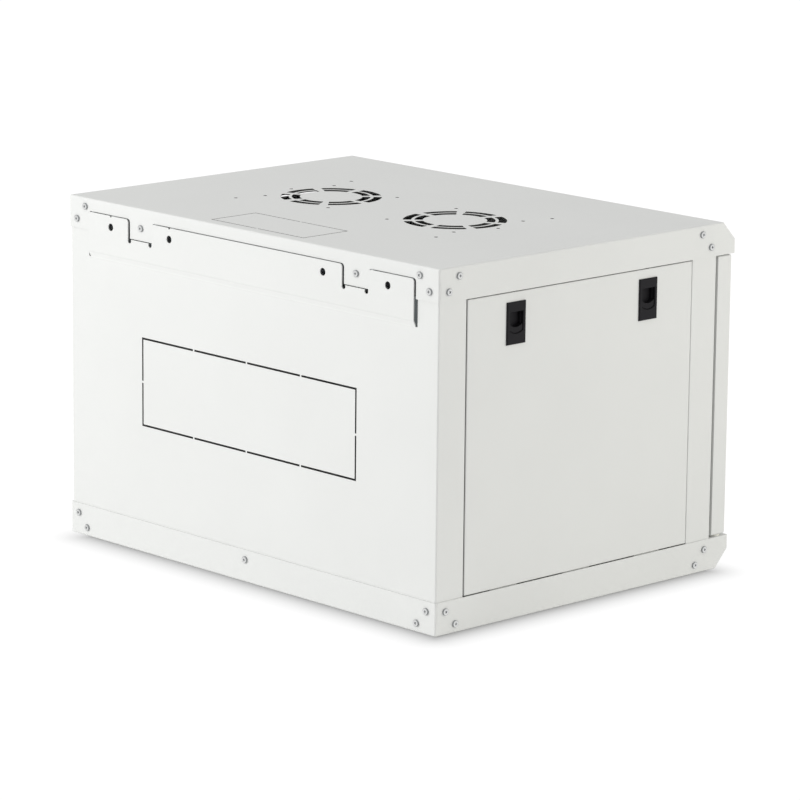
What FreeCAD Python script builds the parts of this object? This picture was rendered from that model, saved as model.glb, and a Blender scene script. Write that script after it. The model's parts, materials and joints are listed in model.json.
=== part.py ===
import FreeCAD, Part
import math
import os
import re
import Sketcher

# Wall-mounted network cabinet: folded sheet cover and base, a folded back with its wall strip,
# lift-out side panels on slide latches, a glazed door on pins, and adjustable rack rails.
# Millimetres. Origin at the bottom centre; the door faces -Y, the wall is at +Y, +Z is up.

os.makedirs("parts", exist_ok=True)
doc = FreeCAD.newDocument("network_cabinet")

# ---------------------------------------------------------------- driving dimensions

SIZES = {
    # whole cabinet and its sheet metal
    "width": 600, "depth": 450, "height": 390, "sheet": 1.2, "lap": 0.2, "bend": 2,
    # cover and base: depth of their side walls, and the sloped nose over the door
    "band": 36, "nose_deep": 19, "nose_high": 20, "door_bay": 29,
    # wall strip, pressed out of the back, and the two cover tabs that drop into its notches
    "strip_side": 36, "strip_drop": 14.6, "strip_gap": 0.6, "strip_low": 58.7,
    "strip_proud": 2, "strip_slit": 3, "strip_end": 1.4, "joggle": 7, "joggle_bend": 6,
    "strip_corner": 4, "tab_pitch": 350, "tab_wide": 38, "tab_gap": 1.5, "relief_radius": 2.9,
    "wall_outer": 450, "wall_inner": 250, "wall_drop": 27.2, "wall_radius": 4.25,
    "nick_radius": 1.6,
    "hanger_thick": 2, "hanger_top": 6, "hanger_low": 34, "hanger_side": 38,
    # fan openings in the roof
    "fan_pitch": 200, "fan_holes": 105, "ring_outer": 57, "ring_inner": 44.4,
    "slot_wide": 9.2, "slot_angle": 41, "slots": 7, "fan_hole_radius": 2.2,
    "tray_out": 62, "tray_side": 67, "tray_along": 88,
    # knock-out plates: cut lines held by small ties
    "roof_plate_wide": 150, "roof_plate_deep": 65, "roof_plate_back": 15.5,
    "back_plate_wide": 350, "back_plate_high": 100, "cut_line": 1.5, "tie": 2.4,
    # screws at the corners of the cover and base
    "screw_front": 25, "screw_near": 14, "screw_far": 28.5, "screw_up": 25.2, "screw_down": 9.8,
    "tab_screw_drop": 22, "screw_radius": 2, "screw_play": 0.15,
    "screw_long": 8, "head_radius": 3.75, "head_high": 1.9,
    # posts
    "rear_post": 40.5, "front_post": 38, "seat_lip": 32, "post_lip": 25,
    # carriers between the posts, and the rack rails on them
    "carrier_high": 30, "carrier_lip": 12, "carrier_tab": 15, "carrier_sheet": 1.5,
    "carrier_level": 52, "carrier_slot_end": 34.05, "carrier_bridge": 20, "slot_play": 0.3,
    "carrier_screw": 7.5, "rack_radius": 3, "rack_head": 5.4, "rack_head_high": 3.4,
    "nut_radius": 5.6, "nut_high": 3.2,
    "rack_open": 450, "rack_hole_in": 7.55, "rail_sheet": 1.5, "rail_web": 34,
    "rail_end": 36, "rail_in_slot": 4.75, "unit_pitch": 44.45, "units": 6, "unit_edge": 6.35,
    "unit_hole": 15.875, "square": 9.5,
    # earth stud
    "earth_back": 60, "earth_long": 18, "earth_radius": 3,
    # door
    "door_thick": 22, "door_recess": 3.5, "door_gap_top": 1.5, "door_gap_low": 2,
    "door_lip": 10, "window_side": 72, "window_band": 45, "window_corner": 8,
    "glass_thick": 4, "glass_lap": 12, "seal_thick": 1.4, "seal_wide": 9, "clip_wide": 22,
    "clip_reach": 8, "clip_sheet": 1.5, "clip_pitch": 200,
    "hinge_in": 7.5, "hinge_front": 9.5, "hinge_radius": 3, "hinge_play": 0.05,
    "hinge_grip": 6, "washer_radius": 6, "washer_thick": 1.7, "flange_radius": 5,
    "flange_thick": 1.5, "pin_long": 44, "pin_travel": 7.5, "collar_drop": 15,
    "collar_radius": 4.2, "collar_thick": 1.2, "guide_drop": 36, "guide_sheet": 1.5,
    "guide_wide": 14, "guide_high": 26, "lever_long": 16, "lever_radius": 1.6,
    "coil_wire": 0.7, "coil_turns": 6,
    # door lock
    "lock_in": 40, "lock_radius": 9.5, "lock_head_radius": 11.5, "lock_head": 2.3,
    "lock_long": 19, "lock_nut": 13.5, "lock_nut_thick": 4, "plug_radius": 6,
    "plug_play": 0.06, "cam_wide": 14, "cam_long": 28, "cam_thick": 2, "cam_gap": 0.6,
    "cam_square": 7, "key_wide": 1.2, "key_high": 7, "key_deep": 6,
    # side panels
    "side_gap_rear": 2.4, "side_gap_front": 0.7, "side_gap_low": 0.6, "side_gap_top": 1.2,
    "pan_deep": 12, "pan_inset": 5,
    "hook_wide": 40, "hook_deep": 10, "hook_step": 0.8, "hook_pitch": 110,
    # slide latches
    "latch_pitch": 200, "latch_drop": 33, "latch_wide": 27.4, "latch_high": 45.5,
    "bezel_thick": 2, "bezel_round": 1.2, "case_wide": 24.4, "case_high": 42.6,
    "case_deep": 9, "case_wall": 2.2, "case_play": 0.2, "view_wide": 19.6, "view_top": 12.15,
    "view_low": 8.15, "view_bow": 3.2, "slide_wide": 21, "slide_high": 33, "slide_thick": 4.6,
    "slide_travel": 6.4, "slide_play": 0.3, "scoop_wide": 16.4, "scoop_low": 1.75,
    "scoop_bow": 2.9, "scoop_deep": 3.2, "thumb_high": 2.6, "bolt_wide": 9, "bolt_thick": 2.4,
    "barb_out": 1.2, "barb_high": 6,
}

sheet = doc.addObject("Spreadsheet::Sheet", "Sizes")
for row, (alias, value) in enumerate(SIZES.items(), start=1):
    sheet.set(f"A{row}", alias)
    sheet.set(f"B{row}", str(value))
    sheet.setAlias(f"B{row}", alias)
doc.recompute()


def bind(text):
    """An expression in plain size names, with each name pointed at the sheet."""
    return re.sub(r"[a-z_]+", lambda word: f"Sizes.{word[0]}" if word[0] in SIZES else word[0], text)


def value_of(text):
    """The present value of an expression, for parts shaped in code."""
    return float(sheet.evalExpression(bind(text)))


# ---------------------------------------------------------------- modelling helpers

NORMALS = {"XY": (0, 0, 1), "XZ": (0, -1, 0), "YZ": (1, 0, 0)}


def new_body(name):
    body = doc.addObject("PartDesign::Body", name)
    body.Label = name
    return body


def new_sketch(body, plane, level="0", across="0"):
    """A sketch on one of the body's planes, moved to a level along X, Y or Z."""
    sketch = body.newObject("Sketcher::SketchObject", body.Name + "_sketch")
    origin = [item for item in body.Origin.OriginFeatures if item.Role == plane + "_Plane"][0]
    sketch.AttachmentSupport = [(origin, "")]
    sketch.MapMode = "FlatFace"
    sign = "-1" if plane == "XZ" else "1"
    sketch.setExpression("AttachmentOffset.Base.z", bind(f"{sign} * ({level})"))
    sketch.setExpression("AttachmentOffset.Base.x", bind(across))
    return sketch


def pin_point(sketch, edge, end, x_text, y_text):
    """Holds one point of a sketch at a place given by two expressions."""
    for kind, text in (("DistanceX", x_text), ("DistanceY", y_text)):
        index = sketch.addConstraint(Sketcher.Constraint(kind, edge, end, value_of(text)))
        sketch.setExpression(f"Constraints[{index}]", bind(text))


def outline(sketch, corners):
    """A closed outline of straight edges, each corner held by expressions."""
    spots = [FreeCAD.Vector(value_of(x), value_of(y), 0) for x, y in corners]
    first = sketch.GeometryCount
    count = len(corners)
    for here in range(count):
        sketch.addGeometry(Part.LineSegment(spots[here], spots[(here + 1) % count]))
    for here in range(count):
        after = first + (here + 1) % count
        sketch.addConstraint(Sketcher.Constraint("Coincident", first + here, 2, after, 1))
    for here, (x_text, y_text) in enumerate(corners):
        pin_point(sketch, first + here, 1, x_text, y_text)


def rectangle(sketch, left, low, right, high):
    outline(sketch, [(left, low), (right, low), (right, high), (left, high)])


def block(sketch, centre_x, centre_y, wide, high):
    """A rectangle given by its middle and its full width and height."""
    rectangle(sketch, f"{centre_x} - ({wide}) / 2", f"{centre_y} - ({high}) / 2",
              f"{centre_x} + ({wide}) / 2", f"{centre_y} + ({high}) / 2")


def circle(sketch, x_text, y_text, radius):
    centre = FreeCAD.Vector(value_of(x_text), value_of(y_text), 0)
    edge = sketch.addGeometry(Part.Circle(centre, FreeCAD.Vector(0, 0, 1), value_of(radius)))
    index = sketch.addConstraint(Sketcher.Constraint("Radius", edge, value_of(radius)))
    sketch.setExpression(f"Constraints[{index}]", bind(radius))
    pin_point(sketch, edge, 3, x_text, y_text)


def slot(sketch, centre_x, centre_y, long, high):
    """A slot with round ends, its length along the sketch's first axis."""
    left, right = f"{centre_x} - ({long} - {high}) / 2", f"{centre_x} + ({long} - {high}) / 2"
    low, top = f"{centre_y} - {high} / 2", f"{centre_y} + {high} / 2"
    corners = [(left, low), (right, low), (right, top), (left, top)]
    spots = [FreeCAD.Vector(value_of(x), value_of(y), 0) for x, y in corners]
    reach = FreeCAD.Vector(value_of(f"{high} / 2"), 0, 0)
    middle = FreeCAD.Vector(0, value_of(centre_y), 0)
    right_tip = FreeCAD.Vector(spots[1].x, middle.y, 0) + reach
    left_tip = FreeCAD.Vector(spots[0].x, middle.y, 0) - reach
    first = sketch.addGeometry(Part.LineSegment(spots[0], spots[1]))
    sketch.addGeometry(Part.Arc(spots[1], right_tip, spots[2]))
    sketch.addGeometry(Part.LineSegment(spots[2], spots[3]))
    sketch.addGeometry(Part.Arc(spots[3], left_tip, spots[0]))
    for line, end, arc, arc_end in ((0, 2, 1, 1), (2, 1, 1, 2), (2, 2, 3, 1), (0, 1, 3, 2)):
        sketch.addConstraint(Sketcher.Constraint("Coincident", first + line, end,
                                                 first + arc, arc_end))
    pin_point(sketch, first, 1, *corners[0])
    pin_point(sketch, first, 2, *corners[1])
    pin_point(sketch, first + 2, 1, *corners[2])
    pin_point(sketch, first + 2, 2, *corners[3])
    for arc, text in ((1, right), (3, left)):
        index = sketch.addConstraint(Sketcher.Constraint("DistanceX", first + arc, 3,
                                                         value_of(text)))
        sketch.setExpression(f"Constraints[{index}]", bind(text))


def arched(sketch, centre_x, low, high, wide, bow):
    """A rectangle whose bottom edge is bowed downwards in one arc."""
    left, right = f"{centre_x} - ({wide}) / 2", f"{centre_x} + ({wide}) / 2"
    corners = [(right, low), (right, high), (left, high), (left, low)]
    spots = [FreeCAD.Vector(value_of(x), value_of(y), 0) for x, y in corners]
    belly = FreeCAD.Vector(value_of(centre_x), value_of(f"{low} - {bow}"), 0)
    first = sketch.addGeometry(Part.LineSegment(spots[0], spots[1]))
    sketch.addGeometry(Part.LineSegment(spots[1], spots[2]))
    sketch.addGeometry(Part.LineSegment(spots[2], spots[3]))
    sketch.addGeometry(Part.Arc(spots[3], belly, spots[0]))
    for here, end, there, there_end in ((0, 2, 1, 1), (1, 2, 2, 1), (2, 2, 3, 1), (0, 1, 3, 2)):
        sketch.addConstraint(Sketcher.Constraint("Coincident", first + here, end,
                                                 first + there, there_end))
    for line in range(3):
        pin_point(sketch, first + line, 1, *corners[line])
    pin_point(sketch, first + 2, 2, *corners[3])
    radius = f"((({wide}) / 2)^2 + ({bow})^2) / (2 * ({bow}))"
    centre_y = f"{low} - {bow} + {radius}"
    index = sketch.addConstraint(Sketcher.Constraint("DistanceY", first + 3, 3, value_of(centre_y)))
    sketch.setExpression(f"Constraints[{index}]", bind(centre_y))


def faces_along(sketch, towards):
    plane = sketch.AttachmentSupport[0][0].Role[:2]
    return sum(a * b for a, b in zip(NORMALS[plane], towards)) > 0


def extrude(body, sketch, kind, length, towards):
    feature = body.newObject("PartDesign::" + kind, body.Name + "_" + kind.lower())
    feature.Profile = sketch
    feature.setExpression("Length", bind(length))
    if towards is None:
        feature.SideType = "Symmetric"
    elif kind == "Pad":
        feature.Reversed = not faces_along(sketch, towards)
    else:
        feature.Reversed = faces_along(sketch, towards)
    return feature


def settle(body, feature, volume_before, grows):
    """Recomputes, and stops the build when a feature changed nothing or went the wrong way."""
    doc.recompute()
    change = body.Shape.Volume - volume_before
    if "Invalid" in feature.State or abs(change) < 0.001 or (change > 0) != grows:
        raise RuntimeError(f"{feature.Name} is {feature.State}, volume change {change:.3f}")
    return feature


def pad(body, sketch, length, towards=None):
    before = body.Shape.Volume if body.Tip else 0
    return settle(body, extrude(body, sketch, "Pad", length, towards), before, True)


def pocket(body, sketch, length, towards=None):
    before = body.Shape.Volume
    return settle(body, extrude(body, sketch, "Pocket", length, towards), before, False)


def round_edges(body, radius, choose):
    """Rounds every edge of the body that the test chooses."""
    picked = [f"Edge{number}" for number, edge in enumerate(body.Shape.Edges, start=1) if choose(edge)]
    if not picked:
        raise RuntimeError(f"no edge to round on {body.Name}")
    base = body.Tip
    fillet = body.newObject("PartDesign::Fillet", body.Name + "_fillet")
    fillet.Base = (base, picked)
    fillet.setExpression("Radius", bind(radius))
    doc.recompute()
    if "Invalid" in fillet.State:
        raise RuntimeError(f"{fillet.Name} on {body.Name} failed")
    return fillet


def middle_of(edge):
    return edge.BoundBox.Center


def runs_along(edge, axis):
    box = edge.BoundBox
    spans = {"X": box.XLength, "Y": box.YLength, "Z": box.ZLength}
    others = [span for name, span in spans.items() if name != axis]
    return spans[axis] > 0.01 and max(others) < 0.01


def near(number, text, slack=0.05):
    return abs(number - value_of(text)) < slack


def code_part(name, shape):
    """A sub-part whose form comes from Part's own functions, sized from the sheet."""
    feature = doc.addObject("Part::Feature", name)
    feature.Label = name
    feature.Shape = shape
    return feature


# ---------------------------------------------------------------- shared places, as expressions

SKIN = "(sheet + lap)"
INSIDE_X = "(width / 2 - sheet - lap)"
BACK_Y = "(depth / 2 - sheet - lap)"
STRIP_Y = "(depth / 2 + strip_proud)"
STRIP_HALF = "(width / 2 - strip_side)"
POST_FACE_Y = "(-depth / 2 + door_bay)"
POST_REAR_Y = "(-depth / 2 + door_bay + front_post)"
BACK_SEAT_Y = "(depth / 2 - rear_post)"
FAN_Y = "(nose_deep / 2)"
WEB_X = "(width / 2 - sheet - lap - seat_lip)"
SCREW_HOLE = "(screw_radius + screw_play)"
RACK_HOLE = "(rack_radius + screw_play)"
SIDES = (("left", "-1"), ("right", "1"))


def corner_screws(top):
    """Height of the two screw levels at a corner, near the edge first."""
    if top:
        return "(height - screw_up)", "(height - screw_down)"
    return "screw_up", "screw_down"


def back_screw_places(top):
    """Rear-face screws at the corners, as (x, z)."""
    upper, lower = corner_screws(top)
    places = []
    for sign in ("-1", "1"):
        places.append((f"{sign} * (width / 2 - screw_near)", upper))
        places.append((f"{sign} * (width / 2 - screw_far)", lower))
    return places


def side_screw_places(top):
    """Side-face screws, as (y, z): two into each rear post and two into each front post."""
    upper, lower = corner_screws(top)
    front = "(-depth / 2 + screw_front)"
    return [("depth / 2 - screw_near", upper), ("depth / 2 - screw_far", lower),
            (f"{front} + screw_near", upper), (f"{front} + screw_far", lower)]


def tab_screw_places():
    return [(f"{sign} * tab_pitch / 2", "height - tab_screw_drop") for sign in ("-1", "1")]


def wall_hole_places():
    return [(f"{sign} * {pitch} / 2", "height - wall_drop")
            for pitch in ("wall_outer", "wall_inner") for sign in ("-1", "1")]


def drill_back(body, places, radius, reach="6 * sheet"):
    """Round holes along Y through sheet that lies at the back face."""
    sketch = new_sketch(body, "XZ", "depth / 2 - 4 * sheet")
    for x_text, z_text in places:
        circle(sketch, x_text, z_text, radius)
    pocket(body, sketch, reach, (0, 1, 0))


def drill_sides(body, places, radius):
    """Round holes along X right through the body."""
    sketch = new_sketch(body, "YZ")
    for y_text, z_text in places:
        circle(sketch, y_text, z_text, radius)
    pocket(body, sketch, "width + 2 * sheet")


def knock_out(body, plane, level, reach, towards, centre, size, pieces):
    """Cut lines round a break-out plate, left uncut at small ties."""
    (middle_x, middle_y), (wide, high), (along, up) = centre, size, pieces
    sketch = new_sketch(body, plane, level)
    for sign in ("-1", "1"):
        for part in range(along):
            left = f"{middle_x} - {wide} / 2 + {wide} * {part} / {along}"
            left += " + tie / 2" if part > 0 else ""
            right = f"{middle_x} - {wide} / 2 + {wide} * {part + 1} / {along}"
            right += " - tie / 2" if part < along - 1 else ""
            line = f"{middle_y} + {sign} * ({high} - cut_line) / 2"
            rectangle(sketch, left, f"{line} - cut_line / 2", right, f"{line} + cut_line / 2")
    pocket(body, sketch, reach, towards)
    sketch = new_sketch(body, plane, level)
    for sign in ("-1", "1"):
        for part in range(up):
            low = f"{middle_y} - {high} / 2 + {high} * {part} / {up}"
            low += " + tie / 2" if part > 0 else ""
            top = f"{middle_y} - {high} / 2 + {high} * {part + 1} / {up}"
            top += " - tie / 2" if part < up - 1 else ""
            line = f"{middle_x} + {sign} * ({wide} - cut_line) / 2"
            rectangle(sketch, f"{line} - cut_line / 2", low, f"{line} + cut_line / 2", top)
    pocket(body, sketch, reach, towards)


# ---------------------------------------------------------------- cover and base

def folded_shell(name, top):
    """The tray that closes the cabinet at the top or the bottom, with its sloped nose."""
    def level(text):
        return f"(height - ({text}))" if top else f"({text})"

    body = new_body(name)
    slope = "hypot(nose_deep; nose_high)"
    sketch = new_sketch(body, "YZ")
    outline(sketch, [("depth / 2", level("band")), ("depth / 2", level("0")),
                     ("-depth / 2 + nose_deep", level("0")),
                     ("-depth / 2", level("nose_high")), ("-depth / 2", level("band"))])
    pad(body, sketch, "width")
    open_z = level("band")
    round_edges(body, "bend", lambda edge: not near(middle_of(edge).z, open_z))

    sketch = new_sketch(body, "YZ")
    return_y = "-depth / 2 + door_bay - lap"
    outline(sketch, [
        ("depth / 2 - sheet", level("band")), ("depth / 2 - sheet", level("sheet")),
        (f"-depth / 2 + nose_deep + sheet * ({slope} - nose_deep) / nose_high", level("sheet")),
        ("-depth / 2 + sheet", level(f"nose_high + sheet * ({slope} - nose_high) / nose_deep")),
        ("-depth / 2 + sheet", level("band - sheet")), (return_y, level("band - sheet")),
        (return_y, level("band"))])
    pocket(body, sketch, "width - 2 * sheet")

    # a seam where the side wall is folded against the back wall
    sketch = new_sketch(body, "YZ")
    rectangle(sketch, "depth / 2 - 2 * sheet - lap", level("band"),
              "depth / 2 - 2 * sheet", level("screw_near"))
    pocket(body, sketch, "width + sheet")

    # hinge pin hole in the underside of the nose
    hole_level = "height - band + 2 * sheet" if top else "band + sheet"
    sketch = new_sketch(body, "XY", hole_level)
    circle(sketch, HINGE_X, HINGE_Y, "hinge_radius + hinge_play")
    pocket(body, sketch, "3 * sheet", (0, 0, -1))

    # cable knock-out near the wall
    plate_y = "(depth / 2 - roof_plate_back - roof_plate_deep / 2)"
    plate_level = "height + sheet" if top else "2 * sheet"
    knock_out(body, "XY", plate_level, "3 * sheet", (0, 0, -1), ("0", plate_y),
              ("roof_plate_wide", "roof_plate_deep"), (2, 1))
    drill_sides(body, side_screw_places(top), SCREW_HOLE)
    return body


HINGE_X = "(-(width / 2 - sheet - lap) + hinge_in)"
HINGE_Y = "(-depth / 2 + door_recess + hinge_front)"
DOOR_LOW = "(band + door_gap_low)"
DOOR_TOP = "(height - band - door_gap_top)"
DOOR_FRONT = "(-depth / 2 + door_recess)"
DOOR_BACK = "(-depth / 2 + door_recess + door_thick)"


def make_top_cover():
    body = folded_shell("top_cover", True)

    # the back wall is cut short over the wall strip, between and outside the two tabs
    sketch = new_sketch(body, "XZ", "depth / 2 - 3 * sheet")
    inner = "(tab_pitch - tab_wide) / 2"
    outer = "(tab_pitch + tab_wide) / 2"
    edge = f"({STRIP_HALF} + strip_end)"
    high = "height - strip_drop + strip_gap"
    rectangle(sketch, f"-{edge}", "height - band", f"-{outer}", high)
    rectangle(sketch, f"-{inner}", "height - band", inner, high)
    rectangle(sketch, outer, "height - band", edge, high)
    pocket(body, sketch, "4 * sheet", (0, 1, 0))
    ends = [edge, inner, outer]
    round_edges(body, "strip_corner", lambda line: runs_along(line, "Y") and
                near(middle_of(line).z, high) and
                any(near(abs(middle_of(line).x), end) for end in ends))
    drill_back(body, back_screw_places(True) + tab_screw_places(), SCREW_HOLE)

    # two rosettes of arc slots for fans, one slot ring inside the other
    for sign in ("1", "-1"):
        sketch = new_sketch(body, "XZ", FAN_Y, f"{sign} * fan_pitch / 2")
        for reach in ("ring_outer", "ring_inner"):
            near_x = f"{sign} * ({reach} - slot_wide)"
            far_x = f"{sign} * {reach}"
            rectangle(sketch, near_x, "height - 2 * sheet", far_x, "height + sheet")
        before = body.Shape.Volume
        groove = body.newObject("PartDesign::Groove", "fan_slot")
        groove.Profile = sketch
        groove.ReferenceAxis = (sketch, ["V_Axis"])
        groove.setExpression("Angle", bind("slot_angle"))
        groove.Midplane = True
        settle(body, groove, before, False)
        before = body.Shape.Volume
        ring = body.newObject("PartDesign::PolarPattern", "fan_ring")
        ring.Originals = [groove]
        ring.Axis = (sketch, ["V_Axis"])
        ring.Angle = 360
        ring.setExpression("Occurrences", bind("slots"))
        body.Tip = ring
        settle(body, ring, before, False)

    # fan screw holes on a square, and three tray holes outside each fan
    sketch = new_sketch(body, "XY", "height + sheet")
    for sign in ("-1", "1"):
        for across in ("-1", "1"):
            for along in ("-1", "1"):
                circle(sketch, f"{sign} * fan_pitch / 2 + {across} * fan_holes / 2",
                       f"{FAN_Y} + {along} * fan_holes / 2", "fan_hole_radius")
        circle(sketch, f"{sign} * (fan_pitch / 2 + tray_side)", FAN_Y, "fan_hole_radius")
        for along in ("-1", "1"):
            circle(sketch, f"{sign} * (fan_pitch / 2 + tray_out)",
                   f"{FAN_Y} + {along} * tray_along", "fan_hole_radius")
    pocket(body, sketch, "3 * sheet", (0, 0, -1))
    return body


def make_base_tray():
    body = folded_shell("base_tray", False)
    drill_back(body, back_screw_places(False) + [("0", "screw_up")], SCREW_HOLE)
    sketch = new_sketch(body, "XY", "2 * sheet")
    circle(sketch, "0", "depth / 2 - roof_plate_back - roof_plate_deep - earth_back",
           "earth_radius + screw_play")
    pocket(body, sketch, "3 * sheet", (0, 0, -1))
    return body


# ---------------------------------------------------------------- back, wall strip and posts

def folded_plan(sketch, sign, start_y, end_y, start_lip, end_lip, thick):
    """Plan of a C-shaped post at one side: a lip at each end, open towards the middle."""
    face, inner = f"{sign} * {INSIDE_X}", f"{sign} * ({INSIDE_X} - {thick})"
    outline(sketch, [
        (f"{sign} * ({INSIDE_X} - {start_lip})", start_y), (face, start_y), (face, end_y),
        (f"{sign} * ({INSIDE_X} - {end_lip})", end_y),
        (f"{sign} * ({INSIDE_X} - {end_lip})", f"{end_y} + {thick}"),
        (inner, f"{end_y} + {thick}"), (inner, f"{start_y} - {thick}"),
        (f"{sign} * ({INSIDE_X} - {start_lip})", f"{start_y} - {thick}")])


def make_rear_panel():
    """One folded sheet: the back, both rear posts, and the wall strip pressed out of its top."""
    body = new_body("rear_panel")
    lip_x = f"({INSIDE_X} - seat_lip)"
    wall_x = f"({INSIDE_X} - sheet)"
    strip_z = "(height - strip_low)"
    low_z = f"({strip_z} - joggle)"
    root_z = f"({low_z} - joggle)"
    slit_x = f"({STRIP_HALF} + strip_slit)"

    # the double bend that brings the strip out past the cover's back wall
    sketch = new_sketch(body, "YZ")
    outline(sketch, [(f"{BACK_Y} - sheet", root_z), (BACK_Y, root_z), (BACK_Y, low_z),
                     (STRIP_Y, strip_z), (STRIP_Y, f"{strip_z} + joggle"),
                     (f"{STRIP_Y} - sheet", f"{strip_z} + joggle"),
                     (f"{STRIP_Y} - sheet", strip_z), (f"{BACK_Y} - sheet", low_z)])
    pad(body, sketch, f"2 * {STRIP_HALF}")
    round_edges(body, "joggle_bend", lambda edge: runs_along(edge, "X") and
                any(near(middle_of(edge).z, level) for level in (low_z, strip_z)))

    # back plate, open behind the strip and slit a little past each end of it
    sketch = new_sketch(body, "XZ", BACK_Y)
    rim = [(INSIDE_X, SKIN), (INSIDE_X, f"height - {SKIN}"), (slit_x, f"height - {SKIN}"),
           (slit_x, low_z), (STRIP_HALF, low_z), (STRIP_HALF, root_z)]
    outline(sketch, rim + [(f"-{x}", z) for x, z in reversed(rim)])
    pad(body, sketch, "sheet", (0, -1, 0))
    for side, sign in SIDES:
        sketch = new_sketch(body, "XY", SKIN)
        outline(sketch, [(f"{sign} * {x}", y) for x, y in (
            (INSIDE_X, BACK_Y), (INSIDE_X, BACK_SEAT_Y), (lip_x, BACK_SEAT_Y),
            (lip_x, f"{BACK_SEAT_Y} + sheet"), (wall_x, f"{BACK_SEAT_Y} + sheet"), (wall_x, BACK_Y))])
        pad(body, sketch, f"height - 2 * {SKIN}", (0, 0, 1))
    round_edges(body, "bend", lambda edge: runs_along(edge, "Z") and
                near(abs(middle_of(edge).x), INSIDE_X) and near(middle_of(edge).y, BACK_Y))
    round_edges(body, "strip_slit / 3", lambda edge: runs_along(edge, "Y") and
                near(abs(middle_of(edge).x), slit_x) and near(middle_of(edge).z, low_z))

    sketch = new_sketch(body, "XZ", STRIP_Y)
    top_z = "(height - strip_drop)"
    notch_z = "(height - band - strip_gap)"
    notches = ["-(tab_pitch + tab_wide) / 2 - tab_gap", "-(tab_pitch - tab_wide) / 2 + tab_gap",
               "(tab_pitch - tab_wide) / 2 - tab_gap", "(tab_pitch + tab_wide) / 2 + tab_gap"]
    foot_z = f"({strip_z} + joggle / 2)"
    rim = [(f"-{STRIP_HALF}", foot_z), (f"-{STRIP_HALF}", top_z)]
    for opening, closing in (notches[:2], notches[2:]):
        rim += [(opening, top_z), (opening, notch_z), (closing, notch_z), (closing, top_z)]
    rim += [(STRIP_HALF, top_z), (STRIP_HALF, foot_z)]
    outline(sketch, rim)
    pad(body, sketch, "sheet", (0, -1, 0))
    corners = [STRIP_HALF, notches[2], notches[3]]
    round_edges(body, "strip_corner - strip_gap", lambda edge: runs_along(edge, "Y") and
                near(middle_of(edge).z, top_z) and middle_of(edge).y > value_of(BACK_Y) and
                any(near(abs(middle_of(edge).x), corner) for corner in corners))

    # round relief holes at the bottom of each notch, and two nicks in the strip's top edge
    sketch = new_sketch(body, "XZ", f"{STRIP_Y} - 2 * sheet")
    for sign in ("-1", "1"):
        for side in ("-1", "1"):
            circle(sketch, f"{sign} * tab_pitch / 2 + {side} * (tab_wide / 2 + tab_gap - relief_radius)",
                   f"{notch_z} - relief_radius / 2", "relief_radius")
    for pitch in ("wall_outer", "wall_inner"):
        circle(sketch, f"{pitch} / 2", top_z, "nick_radius")
    pocket(body, sketch, "3 * sheet", (0, 1, 0))

    drill_back(body, wall_hole_places(), "wall_radius")
    drill_back(body, back_screw_places(True) + back_screw_places(False) + [("0", "screw_up")],
               SCREW_HOLE)
    posts = [place for top in (True, False) for place in side_screw_places(top)[:2]]
    drill_sides(body, posts, SCREW_HOLE)
    knock_out(body, "XZ", f"{BACK_Y} - 2 * sheet", "4 * sheet", (0, 1, 0), ("0", "height / 2"),
              ("back_plate_wide", "back_plate_high"), (4, 2))
    sketch = new_sketch(body, "XZ", f"{BACK_SEAT_Y} - sheet")
    for x_text, z_text in carrier_screw_places():
        circle(sketch, x_text, z_text, RACK_HOLE)
    pocket(body, sketch, "3 * sheet", (0, 1, 0))
    return body


def make_hanger_bar():
    """Flat steel behind the strip, which takes the wall bolts and the cover's two tab screws."""
    body = new_body("hanger_bar")
    sketch = new_sketch(body, "XZ", f"{BACK_Y}")
    half = "(width / 2 - hanger_side)"
    rectangle(sketch, f"-{half}", "height - hanger_low", half, "height - hanger_top")
    pad(body, sketch, "hanger_thick", (0, -1, 0))
    drill_back(body, wall_hole_places(), "wall_radius")
    drill_back(body, tab_screw_places(), SCREW_HOLE)
    return body


def make_front_post(side, sign):
    body = new_body(f"front_post_{side}")
    sketch = new_sketch(body, "XY", SKIN)
    folded_plan(sketch, sign, POST_REAR_Y, POST_FACE_Y, "seat_lip", "post_lip", "sheet")
    pad(body, sketch, f"height - 2 * {SKIN}", (0, 0, 1))
    round_edges(body, "bend / 2", lambda edge: runs_along(edge, "Z") and
                near(abs(middle_of(edge).x), INSIDE_X))
    posts = [place for top in (True, False) for place in side_screw_places(top)[2:]]
    drill_sides(body, posts, SCREW_HOLE)
    sketch = new_sketch(body, "XZ", f"{POST_REAR_Y} - 2 * sheet")
    for x_text, z_text in carrier_screw_places():
        if x_text.startswith(sign + " "):
            circle(sketch, x_text, z_text, RACK_HOLE)
    pocket(body, sketch, "3 * sheet", (0, 1, 0))
    return body


# ---------------------------------------------------------------- carriers and rack rails

LEVELS = (("lower", "carrier_level"), ("upper", "(height - carrier_level)"))


def carrier_screw_places():
    return [(f"{sign} * ({WEB_X} + carrier_screw)", level)
            for side, sign in SIDES for name, level in LEVELS]


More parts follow.
